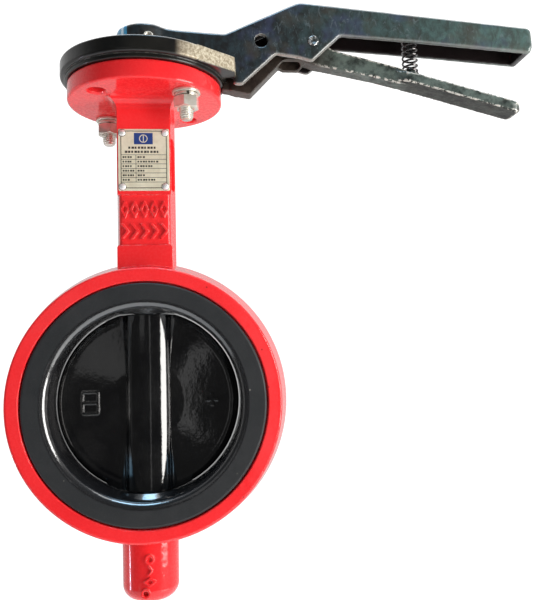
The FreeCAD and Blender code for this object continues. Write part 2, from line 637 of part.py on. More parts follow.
def trigger():
    seat = cylinder(SPRING_R + 0.6, 190.0, SPRING_Z[0] - 0.3, SPRING_X)
    peg = cylinder(SPRING_IN_R - 0.6, 190.0, SPRING_Z[0] + 3.2, SPRING_X)
    solid = fuse([trigger_arm(), trigger_tooth(), trigger_lug(), trigger_grip()])
    solid = solid.cut(cylinder(SPRING_R + 0.6, SPRING_Z[0] - 0.3, 210.0, SPRING_X))
    solid = fuse([solid, seat, peg]).cut(lug_pocket())
    return solid.cut(cross_cylinder(PIVOT_R + RUN, -20, 20, *PIVOT))


def return_spring():
    """Envelope of the coil between trigger and handle."""
    return tube(SPRING_R, SPRING_IN_R, *SPRING_Z, SPRING_X)


# ---- export -------------------------------------------------------------------------------
NODES = {
    "body_casting": body_casting, "seat_liner": seat_liner, "disc": disc, "stem": stem,
    "upper_bush": upper_bush, "middle_bush": middle_bush, "bottom_bush": bottom_bush,
    "thrust_pad": thrust_pad, "stem_o_rings": stem_o_rings, "retaining_ring": retaining_ring,
    "retainer_washer": retainer_washer, "notch_plate": notch_plate, "plate_bolts": plate_bolts,
    "head_washers": head_washers, "flange_washers": flange_washers, "spring_washers": spring_washers,
    "plate_nuts": plate_nuts, "nameplate": nameplate, "nameplate_rivets": nameplate_rivets,
    "lever_handle": lever_handle, "hub_screw": hub_screw, "pivot_pin": pivot_pin,
    "trigger": trigger, "return_spring": return_spring,
}


def main():
    os.makedirs("parts", exist_ok=True)
    for name, make in NODES.items():
        made = make()
        shape = Part.makeCompound(made) if isinstance(made, list) else made
        shape.exportStep(f"parts/{name}.step")
        print(f"{name:18s} solids {len(shape.Solids)}  volume {shape.Volume / 1000:9.3f} cm3  "
              f"valid {shape.isValid()}")


main()
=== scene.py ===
"""Looks of the hand-lever butterfly valve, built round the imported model. Metres, the model's own frame."""
import json
import math
import bmesh
import bpy
from mathutils import Matrix, Vector, noise


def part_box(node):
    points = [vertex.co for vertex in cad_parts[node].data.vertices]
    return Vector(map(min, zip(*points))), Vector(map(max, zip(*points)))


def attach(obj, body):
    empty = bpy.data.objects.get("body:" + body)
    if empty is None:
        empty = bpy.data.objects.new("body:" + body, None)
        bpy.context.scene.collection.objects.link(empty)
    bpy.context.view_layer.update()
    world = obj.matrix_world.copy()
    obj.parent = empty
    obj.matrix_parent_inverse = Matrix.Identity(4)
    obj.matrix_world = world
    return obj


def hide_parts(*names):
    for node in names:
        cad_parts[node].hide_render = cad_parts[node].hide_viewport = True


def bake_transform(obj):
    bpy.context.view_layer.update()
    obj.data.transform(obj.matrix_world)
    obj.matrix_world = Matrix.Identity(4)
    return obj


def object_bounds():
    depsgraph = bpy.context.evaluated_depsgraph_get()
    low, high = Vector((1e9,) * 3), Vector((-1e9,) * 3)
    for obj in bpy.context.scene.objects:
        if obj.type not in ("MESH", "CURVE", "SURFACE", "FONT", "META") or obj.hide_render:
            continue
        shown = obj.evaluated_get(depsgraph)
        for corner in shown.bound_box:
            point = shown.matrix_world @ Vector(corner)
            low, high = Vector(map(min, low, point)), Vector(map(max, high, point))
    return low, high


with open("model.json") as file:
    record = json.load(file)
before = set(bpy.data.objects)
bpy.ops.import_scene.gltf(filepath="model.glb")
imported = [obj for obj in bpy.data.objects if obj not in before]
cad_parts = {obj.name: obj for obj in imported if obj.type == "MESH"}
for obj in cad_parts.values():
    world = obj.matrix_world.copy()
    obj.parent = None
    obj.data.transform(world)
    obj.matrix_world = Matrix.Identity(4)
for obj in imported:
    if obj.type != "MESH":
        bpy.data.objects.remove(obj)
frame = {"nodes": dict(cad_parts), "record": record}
CAD_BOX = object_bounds()
TURN = 2 * math.pi
MM = 0.001
X, Y, Z = 0, 1, 2                        # axis numbers
Y_AXIS, Z_AXIS = Vector((0, 1, 0)), Vector((0, 0, 1))

BEVEL_SAMPLES = 6
MIX_A, MIX_B, MIX_RESULT = 6, 7, 2       # colour sockets of a Mix node


# ---- material graphs ----------------------------------------------------------------------
class Graph:
    """One material: short calls that add nodes, with object coordinates in metres."""

    def __init__(self, name, **sockets):
        self.material = bpy.data.materials.new(name)
        self.material.use_nodes = True
        self.tree = self.material.node_tree
        self.shader = self.tree.nodes["Principled BSDF"]
        self.coords = self.add("ShaderNodeTexCoord").outputs["Object"]
        for socket, value in sockets.items():
            self.shader.inputs[socket.replace("_", " ")].default_value = value

    def add(self, kind, inputs=None, **settings):
        """Adds a node; inputs are keyed by socket name or number."""
        node = self.tree.nodes.new(kind)
        for key, value in settings.items():
            setattr(node, key, value)
        for key, value in (inputs or {}).items():
            self.put(node.inputs[key], value)
        return node

    def put(self, socket, value):
        """Links an output to a socket, or sets the socket to a number or vector."""
        if isinstance(value, bpy.types.NodeSocket):
            self.tree.links.new(value, socket)
        else:
            socket.default_value = value

    def stretch(self, x, y, z):
        """Object coordinates scaled by a factor along each axis."""
        scaled = self.add("ShaderNodeVectorMath", {0: self.coords, 1: (x, y, z)}, operation="MULTIPLY")
        return scaled.outputs[0]

    def noise(self, size, detail=3.0, rough=0.55, coords=None, distortion=0.0):
        """Noise from 0 to 1 whose largest features are about size metres."""
        node = self.add("ShaderNodeTexNoise", {
            "Vector": coords or self.coords, "Scale": 1 / size, "Detail": detail, "Roughness": rough,
            "Distortion": distortion})
        return node.outputs["Fac"]

    def cells(self, size):
        """Distance to the nearest of scattered points about size metres apart, 0 at a point."""
        node = self.add("ShaderNodeTexVoronoi", {"Vector": self.coords, "Scale": 1 / size})
        return node.outputs["Distance"]

    def remap(self, value, low, high, to_low=0.0, to_high=1.0):
        """Carries low..high to to_low..to_high, and stops at both ends."""
        node = self.add("ShaderNodeMapRange", {
            "Value": value, "From Min": low, "From Max": high, "To Min": to_low, "To Max": to_high})
        return node.outputs[0]

    def math(self, operation, a, b=0.0):
        return self.add("ShaderNodeMath", {0: a, 1: b}, operation=operation).outputs[0]

    def times(self, *factors):
        """Product of two or more numbers or outputs."""
        product = factors[0]
        for factor in factors[1:]:
            product = self.math("MULTIPLY", product, factor)
        return product

    def mix(self, factor, a, b):
        """Blends two colours, each an output or an (r, g, b)."""
        node = self.add("ShaderNodeMix", data_type="RGBA")
        self.put(node.inputs["Factor"], factor)
        for socket, colour in ((node.inputs[MIX_A], a), (node.inputs[MIX_B], b)):
            self.put(socket, colour if isinstance(colour, bpy.types.NodeSocket) else (*colour, 1.0))
        return node.outputs[MIX_RESULT]

    def place(self, axis, low, high):
        """0 to 1 as the object's x, y or z goes from low to high, in metres."""
        return self.remap(self.add("ShaderNodeSeparateXYZ", {0: self.coords}).outputs[axis], low, high)

    def radius(self, low, high):
        """0 to 1 with distance from the pipe axis, in metres."""
        node = self.add("ShaderNodeVectorMath", {0: self.stretch(1, 0, 1)}, operation="LENGTH")
        return self.remap(node.outputs["Value"], low, high)

    def facing(self, axis, low, high):
        """0 to 1 as the surface's normal turns towards an axis."""
        normal = self.add("ShaderNodeTexCoord").outputs["Normal"]
        return self.remap(self.add("ShaderNodeSeparateXYZ", {0: normal}).outputs[axis], low, high)

    def edges(self, low, high):
        """0 on flats to 1 on convex edges, for a finely divided mesh."""
        return self.remap(self.add("ShaderNodeNewGeometry").outputs["Pointiness"], low, high)

    def rounded(self, radius):
        """The surface's normal, with its corners rounded by a radius."""
        return self.add("ShaderNodeBevel", {"Radius": radius}, samples=BEVEL_SAMPLES).outputs[0]

    def corner_mask(self, radius, low, high):
        """0 on flats to 1 near a sharp corner, on any mesh."""
        flat = self.add("ShaderNodeNewGeometry").outputs["True Normal"]
        node = self.add("ShaderNodeVectorMath", {0: self.rounded(radius), 1: flat}, operation="DOT_PRODUCT")
        return self.remap(node.outputs["Value"], low, high)

    def height(self, *layers, radius=0.0):
        """Bump from (height in metres, field) layers, over corners rounded by radius."""
        normal = self.rounded(radius) if radius else None
        for depth, field in layers:
            node = self.add("ShaderNodeBump", {"Strength": 1.0, "Distance": depth, "Height": field})
            if normal:
                self.put(node.inputs["Normal"], normal)
            normal = node.outputs[0]
        self.put(self.shader.inputs["Normal"], normal)
        self.put(self.shader.inputs["Coat Normal"], normal)

    def set(self, **links):
        """Puts values on the shader's sockets and returns the material."""
        for socket, value in links.items():
            self.put(self.shader.inputs[socket.replace("_", " ")], value)
        return self.material


# ---- materials of the body, seat and disc -------------------------------------------------
def red_paint():
    """Thick glossy enamel over sand-cast iron, with a few pinholes and rubbed corners."""
    deep, bright = (0.85, 0.020, 0.024), (0.92, 0.030, 0.034)
    pinhole, rubbed = (0.30, 0.010, 0.010), (0.95, 0.42, 0.38)
    g = Graph("red_paint", Specular_IOR_Level=0.1, Coat_Weight=0.85, Coat_Roughness=0.06)
    cloud = g.noise(30 * MM, 2.0)
    grain = g.noise(1.6 * MM, 4.0, 0.6)
    sound = g.remap(g.cells(12 * MM), 0.020, 0.045)      # 0 in a pinhole
    rub = g.times(g.corner_mask(1.2 * MM, 0.93, 0.70), g.remap(g.noise(4 * MM, 3.0), 0.50, 0.66))
    colour = g.mix(g.remap(cloud, 0.3, 0.7), deep, bright)
    colour = g.mix(sound, pinhole, colour)
    colour = g.mix(g.times(rub, 0.55), colour, rubbed)
    g.height((0.12 * MM, g.noise(9 * MM, 2.0)), (0.018 * MM, grain), (0.12 * MM, sound), radius=0.7 * MM)
    return g.set(Base_Color=colour, Roughness=g.remap(grain, 0.3, 0.7, 0.20, 0.34))


def black_rubber():
    """Matt moulded rubber with mould dust and a few bright specks, glossy in its bore and near-black there as
    painted shade.
    """
    dark, light, dust = (0.018, 0.019, 0.020), (0.030, 0.030, 0.031), (0.07, 0.07, 0.07)
    speck, bore_painted_shade = (0.55, 0.50, 0.42), (0.005, 0.005, 0.006)
    g = Graph("black_rubber", Specular_IOR_Level=0.3, Coat_Roughness=0.10, Coat_IOR=2.1)
    cloud = g.noise(20 * MM, 4.0, 0.6)
    grain = g.noise(0.7 * MM, 2.0, 0.7)
    specks = g.times(g.remap(g.cells(7.5 * MM), 0.045, 0.030), g.remap(cloud, 0.50, 0.58))
    bore = g.radius(57.2 * MM, 56.2 * MM)                     # 1 from the lip inwards
    colour = g.mix(g.remap(cloud, 0.3, 0.7), dark, light)
    colour = g.mix(g.remap(grain, 0.55, 0.8, 0.0, 0.35), colour, dust)
    colour = g.mix(specks, colour, speck)
    # near-black in the bore: painted shade of the recess round the disc
    colour = g.mix(bore, colour, bore_painted_shade)
    g.height((0.09 * MM, g.noise(6 * MM, 2.0)), (0.035 * MM, grain))
    return g.set(Base_Color=colour, Roughness=g.remap(cloud, 0.3, 0.7, 0.50, 0.36), Coat_Weight=bore)


def disc_coating():
    """Glossy black coating that follows the casting under it in low waves, duller at the sealing edge."""
    black, charcoal = (0.001, 0.001, 0.0015), (0.007, 0.007, 0.007)
    g = Graph("disc_coating", Specular_IOR_Level=0.1, Coat_Roughness=0.05, Coat_IOR=1.85)
    wave = g.noise(12 * MM, 2.0, coords=g.stretch(1.0, 1.0, 0.7))
    fine = g.noise(2.2 * MM, 3.0, 0.6)
    cloud = g.noise(18 * MM, 5.0, 0.65)
    edge = g.radius(48.4 * MM, 50.0 * MM)
    g.height((0.12 * MM, wave), (0.045 * MM, fine), radius=0.9 * MM)
    return g.set(Base_Color=g.mix(g.remap(cloud, 0.40, 0.62), black, charcoal),
                 Roughness=g.remap(fine, 0.3, 0.7, 0.10, 0.22),
                 Coat_Weight=g.remap(edge, 0.0, 1.0, 1.0, 0.35))


def black_paint():
    """Gloss black on the notch plate, rubbed to bare tan iron round its front stop ear."""
    black, brown, rubbed = (0.005, 0.005, 0.005), (0.013, 0.012, 0.010), (0.30, 0.27, 0.22)
    rust, tan, burnt = (0.26, 0.21, 0.14), (0.56, 0.50, 0.38), (0.10, 0.07, 0.05)
    g = Graph("black_paint", Specular_IOR_Level=0.1, Coat_Roughness=0.08)
    grain = g.noise(1.3 * MM, 4.0, 0.65)
    cloud = g.noise(14 * MM, 4.0)
    ear = g.times(g.place(X, 19.5 * MM, 22.5 * MM), g.place(Y, -10 * MM, -12 * MM),
                  g.place(Z, 186.8 * MM, 187.6 * MM))
    edge = g.times(g.corner_mask(1.2 * MM, 0.95, 0.75), g.remap(g.noise(3 * MM, 3.0), 0.42, 0.60))
    paint = g.mix(g.remap(cloud, 0.3, 0.7), black, brown)
    paint = g.mix(g.times(edge, 0.4), paint, rubbed)
    iron = g.mix(g.remap(grain, 0.38, 0.62), rust, tan)
    iron = g.mix(g.place(X, 20 * MM, 31 * MM), g.mix(0.75, iron, burnt), iron)
    g.height((0.12 * MM, g.noise(6 * MM, 2.0)), (0.03 * MM, grain), radius=0.9 * MM)
    return g.set(Base_Color=g.mix(ear, paint, iron), Metallic=g.times(ear, 0.35),
                 Coat_Weight=g.remap(ear, 0.0, 0.8, 0.7, 0.1), Roughness=g.remap(ear, 0.0, 1.0, 0.30, 0.42))


# ---- materials of the lever and trigger ---------------------------------------------------
def lever_mottle(g, streak):
    """Streaks from black at the hub to blue-green at the grip, with bluish and brown patches and scuffs."""
    hub_dark, hub_light = (0.010, 0.010, 0.010), (0.024, 0.036, 0.042)
    grip_dark, grip_light = (0.048, 0.066, 0.058), (0.088, 0.155, 0.138)
    blue, brown, scuffed = (0.048, 0.055, 0.110), (0.070, 0.056, 0.042), (0.150, 0.185, 0.200)
    along = g.place(X, 70 * MM, 235 * MM)
    blue_patch = g.remap(g.noise(22 * MM, 3.0, 0.6), 0.52, 0.66, 0.0, 0.6)
    brown_patch = g.remap(g.noise(17 * MM, 3.0), 0.52, 0.64, 0.0, 0.35)
    scuff_lines = g.noise(3.2 * MM, 5.0, 0.75, coords=g.stretch(1.0, 1.0, 0.45), distortion=1.2)
    scuffs = g.times(g.remap(scuff_lines, 0.56, 0.66, 0.0, 0.5), g.place(X, 45 * MM, 65 * MM))
    colour = g.mix(g.remap(streak, 0.38, 0.66), g.mix(along, hub_dark, grip_dark),
                   g.mix(along, hub_light, grip_light))
    colour = g.mix(blue_patch, colour, blue)
    colour = g.mix(brown_patch, colour, brown)
    return g.mix(scuffs, colour, scuffed)


def hub_painted_reflection(g, streak, colour):
    """Adds a painted bluish reflection on the hub's front left, with one pale upright painted highlight line
    in it.
    """
    dark_blue, light_blue, pale = (0.010, 0.16, 0.34), (0.05, 0.50, 0.80), (0.80, 0.95, 1.00)
    reflection_patch = g.times(g.place(X, -8.8 * MM, -9.2 * MM), g.place(Y, -1 * MM, -4 * MM),
                   g.place(Z, 200 * MM, 204 * MM))
    # the pale upright line is a painted highlight
    line = g.times(g.place(X, -13.0 * MM, -12.2 * MM), g.place(X, -10.7 * MM, -11.4 * MM))
    return g.mix(reflection_patch, colour, g.mix(line, g.mix(streak, dark_blue, light_blue), pale))


def lever_paint():
    """Thin glossy paint on a rough casting: mottled, near-black in the channel as painted shade, and pale
    grey where it faces down as a painted reflection.
    """
    # near-black painted shade for the channel, pale grey painted reflection for faces that face down
    channel_painted_shade, underside_glint = (0.012, 0.008, 0.008), (0.29, 0.27, 0.24)
    wall_in, wall_out = 8.8 * MM, 9.1 * MM
    g = Graph("lever_paint", Specular_IOR_Level=0.35, Coat_Roughness=0.08, Coat_Weight=0.9)
    streak = g.noise(5 * MM, 5.0, 0.65, coords=g.stretch(1.3, 1.0, 0.8), distortion=0.5)
    grain = g.noise(1 * MM, 4.0, 0.7)
    # the channel's inner faces get a near-black colour: painted shade in the channel
    channel_shade_mask = g.times(g.facing(Z, 0.4, 0.2), g.place(Y, -wall_out, -wall_in), g.place(Y, wall_out, wall_in))
    glint_less_at_grip = g.remap(g.place(X, 125 * MM, 100 * MM), 0.0, 1.0, 0.30, 1.0)
    # pale grey on faces that face down, outside the channel: a painted reflection of the floor, weaker at the
    # grip
    down_facing_glint = g.times(g.facing(Z, -0.35, -0.80), g.math("SUBTRACT", 1.0, channel_shade_mask),
                  g.remap(grain, 0.25, 0.50, 0.3, 1.0), glint_less_at_grip)
    colour = g.mix(channel_shade_mask, lever_mottle(g, streak), channel_painted_shade)
    colour = hub_painted_reflection(g, streak, colour)
    colour = g.mix(down_facing_glint, colour, underside_glint)
    g.height((0.14 * MM, g.noise(5 * MM, 3.0)), (0.04 * MM, grain))
    return g.set(Base_Color=colour, Metallic=g.times(down_facing_glint, 0.4),
                 Roughness=g.remap(streak, 0.3, 0.7, 0.42, 0.28))


def trigger_paint():
    """Rough casting: dark brown at the latch, darkened there as painted shade under the lever, grey-green
    along the bar, rubbed bright at its edges; its grip is darker below as painted shade, and other undersides
    get a faint painted reflection.
    """
    # dark latch colours: painted shade under the lever's walls
    latch_shade_dark, latch_shade_light = (0.016, 0.011, 0.009), (0.036, 0.026, 0.020)
    bar_dark, bar_light = (0.022, 0.027, 0.024), (0.105, 0.132, 0.116)
    grip_dark, grip_light = (0.010, 0.010, 0.008), (0.040, 0.044, 0.036)
    bright_iron_and_glint = (0.62, 0.60, 0.54)
    g = Graph("trigger_paint", Specular_IOR_Level=0.2, Coat_Roughness=0.12)
    shade = g.remap(g.noise(8 * MM, 5.0, 0.70), 0.38, 0.60)
    grain = g.noise(1.2 * MM, 5.0, 0.7)
    bar = g.place(X, 98 * MM, 118 * MM)
    grip = g.place(X, 150 * MM, 160 * MM)
    under = g.facing(Z, -0.40, -0.70)
    colour = g.mix(bar, g.mix(shade, latch_shade_dark, latch_shade_light), g.mix(shade, bar_dark, bar_light))
    # the grip's faces that face down are darker: painted shade
    colour = g.mix(g.times(under, grip), colour, g.mix(shade, grip_dark, grip_light))
    # a faint pale colour on faces that face down, towards the latch: painted reflection
    underside_glint = g.times(under, g.place(X, 160 * MM, 90 * MM), 0.08)
    specks = g.times(g.edges(0.505, 0.525), g.remap(g.noise(2.4 * MM, 3.0), 0.46, 0.54), bar)
    bright = g.math("MAXIMUM", underside_glint, specks)
    g.height((0.30 * MM, g.noise(4 * MM, 3.0)), (0.06 * MM, grain))
    return g.set(Base_Color=g.mix(bright, colour, bright_iron_and_glint), Metallic=g.times(bright, 0.3),
                 Coat_Weight=g.times(g.remap(under, 0.0, 1.0, 0.6, 0.15), g.remap(bar, 0.0, 1.0, 0.5, 1.0)),
                 Roughness=g.remap(grain, 0.3, 0.7, 0.26, 0.46))


def painted_pin():
    """Lever paint over the staked pin, with bright metal where the punch bruised it."""
    dark, light, steel = (0.024, 0.026, 0.026), (0.050, 0.062, 0.062), (0.90, 0.90, 0.88)
    g = Graph("pin_steel", Coat_Weight=0.4, Coat_Roughness=0.12)
    grain = g.noise(1.2 * MM, 4.0, 0.7)
    bruise = g.times(g.edges(0.50, 0.60), g.remap(g.noise(2.1 * MM, 2.0), 0.50, 0.56))
    g.height((0.12 * MM, grain))
    return g.set(Base_Color=g.mix(bruise, g.mix(g.remap(grain, 0.3, 0.7), dark, light), steel),
                 Metallic=bruise, Roughness=g.remap(grain, 0.3, 0.7, 0.25, 0.42))


# ---- other materials ----------------------------------------------------------------------
def metal(name, light, dark, rough, stretch=(1, 1, 1), depth=0.03 * MM, metallic=1.0):
    """Bare or plated metal with fine scratches and a little tarnish."""
    g = Graph(name, Metallic=metallic)
    grain = g.noise(1.2 * MM, 4.0, 0.6, coords=g.stretch(*stretch))
    tarnish = g.remap(g.noise(6 * MM, 4.0, 0.6), 0.40, 0.70)
    g.height((depth, grain))
    return g.set(Base_Color=g.mix(tarnish, light, dark), Roughness=g.remap(grain, 0.3, 0.7, *rough))


def plain_plastic(name, colour, dark, rough):
    """Plastic or ink with a faint grain in its colour and gloss."""
    g = Graph(name, Metallic=0.0)
    grain = g.noise(1.5 * MM, 3.0)
    g.height((0.03 * MM, grain))
    return g.set(Base_Color=g.mix(grain, dark, colour),
                 Roughness=g.remap(grain, 0.3, 0.7, rough, rough + 0.15))


def make_materials():
    """Materials by the names of the record's slots, and four more for small pieces."""
    return {
        "red_paint": red_paint(),
        "black_rubber": black_rubber(),
        "disc_coating": disc_coating(),
        "black_paint": black_paint(),
        "lever_paint": lever_paint(),
        "trigger_paint": trigger_paint(),
        "pin_steel": painted_pin(),
        "stem_steel": metal("stem_steel", (0.60, 0.60, 0.61), (0.42, 0.41, 0.40), (0.22, 0.38),
                            stretch=(1, 1, 6)),
        "bronze": metal("bronze", (0.62, 0.42, 0.19), (0.40, 0.25, 0.12), (0.28, 0.45)),
        "spring_steel": metal("spring_steel", (0.20, 0.19, 0.19), (0.10, 0.09, 0.09), (0.18, 0.34)),
        "zinc_plate": metal("zinc_plate", (0.84, 0.80, 0.72), (0.56, 0.51, 0.42), (0.15, 0.24),
                            depth=0.002 * MM, metallic=0.60),
        "nameplate_alloy": metal("nameplate_alloy", (0.82, 0.78, 0.61), (0.70, 0.65, 0.49), (0.36, 0.50),
                                 stretch=(1, 1, 8), metallic=0.25),
        "rivet_alloy": metal("rivet_alloy", (0.86, 0.86, 0.85), (0.66, 0.66, 0.64), (0.22, 0.34),
                             metallic=0.35),
        "white_ptfe": plain_plastic("white_ptfe", (0.88, 0.88, 0.86), (0.80, 0.80, 0.77), 0.40),
        "plate_ink": plain_plastic("plate_ink", (0.030, 0.027, 0.020), (0.055, 0.048, 0.035), 0.45),
        "badge_blue": plain_plastic("badge_blue", (0.020, 0.060, 0.260), (0.012, 0.035, 0.170), 0.30),
    }


# ---- mesh helpers -------------------------------------------------------------------------
class Build:
    """Vertices and faces of one mesh, added as rings of equal length."""

    def __init__(self):
        self.vertices, self.faces = [], []

    def ring(self, points):
        """Adds points and returns their numbers."""
        start = len(self.vertices)
        self.vertices.extend(Vector(p) for p in points)
        return list(range(start, len(self.vertices)))

    def circles(self, profile, sides):
        """A ring for each (radius, z) of a profile; either may be a function of the angle."""
        return [self.ring(circle(r, z, sides)) for r, z in profile]

    def bridge(self, a, b):
        for i in range(len(a)):
            j = (i + 1) % len(a)
            self.faces.append((a[i], a[j], b[j], b[i]))

    def bridge_all(self, rings):
        for a, b in zip(rings, rings[1:]):
            self.bridge(a, b)

    def close(self, rings):
        """Skin over a run of rings, with a cap at each end."""
        self.bridge_all(rings)
        self.faces.append(tuple(rings[0]))
        self.faces.append(tuple(rings[-1]))
        return self

    def moved(self, matrix):
        self.vertices = [matrix @ v for v in self.vertices]
        return self

    def join(self, other):
        offset = len(self.vertices)
        self.vertices += other.vertices
        self.faces += [tuple(i + offset for i in face) for face in other.faces]
        return self


def new_piece(name, build, material, body, replaced=()):
    """A mesh object in the model's frame; see finish_piece."""
    mesh = bpy.data.meshes.new(name)
    mesh.from_pydata([tuple(v) for v in build.vertices], [], build.faces)
    mesh.validate()
    return finish_piece(name, mesh, material, body, replaced)


def finish_piece(name, mesh, material, body, replaced=(), smooth_angle=35.0):
    """Shades a mesh and makes it a piece that rides on a body, if one is named, with a slot's finish."""
    tidy = bmesh.new()
    tidy.from_mesh(mesh)
    bmesh.ops.recalc_face_normals(tidy, faces=tidy.faces)
    tidy.to_mesh(mesh)
    tidy.free()
    mesh.shade_smooth()
    mesh.set_sharp_from_angle(angle=math.radians(smooth_angle))
    piece = bpy.data.objects.new(name, mesh)
    bpy.context.scene.collection.objects.link(piece)
    mesh.materials.append(material)
    if body:
        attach(piece, body)
    if replaced:
        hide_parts(*replaced)
    return piece


def circle(radius, z, count=48):
    """Points of a circle; radius is a number or a function of the angle, and so is z."""
    points = []
    for k in range(count):
        angle = TURN * k / count
        r = radius(angle) if callable(radius) else radius
        height = z(angle) if callable(z) else z
        points.append((r * math.cos(angle), r * math.sin(angle), height))
    return points


def lathe(profile, count=48, closed=False):
    """Turns (radius, z) points about Z; closed joins the last ring to the first, as in a washer."""
    build = Build()
    rings = build.circles(profile, count)
    if not closed:
        return build.close(rings)
    build.bridge_all(rings)
    build.bridge(rings[-1], rings[0])
    return build


def rounded_profile(corners, radius, steps=3):
    """Corners of a closed flat outline, with each corner cut round."""
    points = []
    for i, corner in enumerate(corners):
        here = Vector(corner)
        before = (Vector(corners[i - 1]) - here).normalized()
        after = (Vector(corners[(i + 1) % len(corners)]) - here).normalized()
        for k in range(steps + 1):
            t = k / steps
            points.append(here + before * radius * (1 - t) ** 2 + after * radius * t ** 2)
    return [tuple(p) for p in points]


def box_outline(x0, x1, y0, y1):
    """Four corners of a rectangle, in order round it."""
    return [(x0, y0), (x1, y0), (x1, y1), (x0, y1)]


def sweep(points, normals_of, section):
    """Tube through points; normals_of(i) gives the two unit vectors that carry the section."""
    build = Build()
    rings = []
    for i, point in enumerate(points):
        u, v = normals_of(i)
        rings.append(build.ring([Vector(point) + u * a + v * b for a, b in section]))
    return build.close(rings)


def helix(radius, z_at, turns, steps, start=0.0):
    """Points of a helix about Z; z_at gives its height as t goes from 0 to 1."""
    points = []
    for i in range(steps + 1):
        t = i / steps
        angle = start + TURN * turns * t
        points.append(Vector((radius * math.cos(angle), radius * math.sin(angle), z_at(t))))
    return points


def helix_frame(points):
    """The two unit vectors across a helix at each of its points, the first one outwards."""
    def normals(i):
        a, b = points[max(0, i - 1)], points[min(len(points) - 1, i + 1)]
        tangent = (b - a).normalized()
        outward = Vector((points[i].x, points[i].y, 0)).normalized()
        outward = (outward - tangent * outward.dot(tangent)).normalized()
        return outward, tangent.cross(outward)
    return normals


def pointing(axis, place):
    """Carries a shape built along +Z to point along another axis at a place."""
    turn = Z_AXIS.rotation_difference(axis).to_matrix().to_4x4()
    return Matrix.Translation(place) @ turn


def solid_half_width(node, side):
    """Half the X width of one of a node's equal solids: one right of x = 0 for side 1, left for -1."""
    xs = [v.co.x for v in frame["nodes"][node].data.vertices if v.co.x * side > 0]
    return (max(xs) - min(xs)) / 2


# ---- fasteners ----------------------------------------------------------------------------
M8_R, M8_PITCH, M8_ACROSS = 4.0 * MM, 1.25 * MM, 13.0 * MM
BOLT_THREAD = 24.0 * MM                  # length of thread on the bolt
WASHER_HOLE_R = 4.2 * MM
HEX_SIDES, SHANK_SIDES = 96, 40
THREAD_DEPTH = 0.54                      # as a share of the pitch
RINGS_PER_PITCH = 8
CHAMFER = math.radians(30)


def hex_radius(across_flats):
    """Radius of a hexagon as a function of the angle."""
    def radius(angle):
        sector = (angle + TURN / 12) % (TURN / 6) - TURN / 12
        return across_flats / 2 / math.cos(TURN / 12 - abs(sector))
    return radius


def hexagon_rings(build, across_flats, z0, z1):
    """Side of a nut or bolt head, its corners turned down by a cone at both ends."""
    radius = hex_radius(across_flats)
    face = across_flats / 2 * 0.96

    def drop(angle):
        return (radius(angle) - face) * math.tan(CHAMFER)

    profile = [(face, z0), (radius, lambda a: z0 + drop(a)), (radius, lambda a: z1 - drop(a)), (face, z1)]
    return build.circles(profile, HEX_SIDES)


def thread_rings(build, crest, pitch, z0, z1, sides, inward=False):
    """Rings of a helical thread between z0 and z1, fading out at both ends; crest is its crests' radius."""
    depth = pitch * THREAD_DEPTH
    steps = max(2, round((z1 - z0) / pitch * RINGS_PER_PITCH))
    rings = []
    for step in range(steps + 1):
        z = z0 + (z1 - z0) * step / steps
        fade = min(1.0, (z - z0) / pitch, (z1 - z) / pitch)

        def radius(angle, z=z, fade=fade):
            phase = (z / pitch - angle / TURN) % 1.0
            tooth = 1.0 - abs(2.0 * phase - 1.0)
            tooth = min(1.0, max(0.0, tooth * 1.35 - 0.12))      # flats at the crest and the root
            if inward:
                return crest + depth * (1.0 - tooth) * fade
            return crest - depth * (1.0 - tooth * fade)

        rings.append(build.ring(circle(radius, z, sides)))
    return rings


def bolt_shape(node):
    """Hexagon bolt with a helical thread over the lower part of its shank."""
    low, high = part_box(node)
    under_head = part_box("head_washers")[1].z
    head_edge = high.z - 0.15 * MM
    thread_top = low.z + BOLT_THREAD
    point = [(M8_R * 0.62, low.z), (M8_R * 0.80, low.z + 0.5 * MM)]
    plain = [(M8_R * 0.93, thread_top + 0.8 * MM), (M8_R * 0.93, under_head)]
    crown = [(M8_ACROSS * 0.40, high.z - 0.02 * MM), (M8_ACROSS * 0.36, high.z),
             (M8_ACROSS * 0.30, head_edge)]
    shank = Build()
    rings = shank.circles(point, SHANK_SIDES)
    rings += thread_rings(shank, M8_R, M8_PITCH, low.z + 0.8 * MM, thread_top, SHANK_SIDES)
    rings += shank.circles(plain, SHANK_SIDES)
    shank.close(rings)
    head = Build()
    head.close(hexagon_rings(head, M8_ACROSS, under_head, head_edge) + head.circles(crown, HEX_SIDES))
    return shank.join(head)


def nut_shape(node):
    """Hexagon nut with a thread through it and a countersink at each end."""
    low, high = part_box(node)
    mouth, bore, lead_in = 4.5 * MM, 4.02 * MM, 0.4 * MM
    build = Build()
    outside = hexagon_rings(build, M8_ACROSS, low.z, high.z)
    top = build.ring(circle(mouth, high.z, HEX_SIDES))
    thread = thread_rings(build, bore, M8_PITCH, low.z + lead_in, high.z - lead_in, HEX_SIDES, inward=True)
    foot = build.ring(circle(mouth, low.z, HEX_SIDES))
    build.bridge_all(outside + [top] + thread[::-1] + [foot])
    build.bridge(foot, outside[0])
    return build


def washer_shape(node):
    """Flat washer with slightly rounded edges."""
    low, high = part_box(node)
    section = box_outline(WASHER_HOLE_R, solid_half_width(node, 1), low.z, high.z)
    return lathe(rounded_profile(section, 0.35 * MM), 64, closed=True)


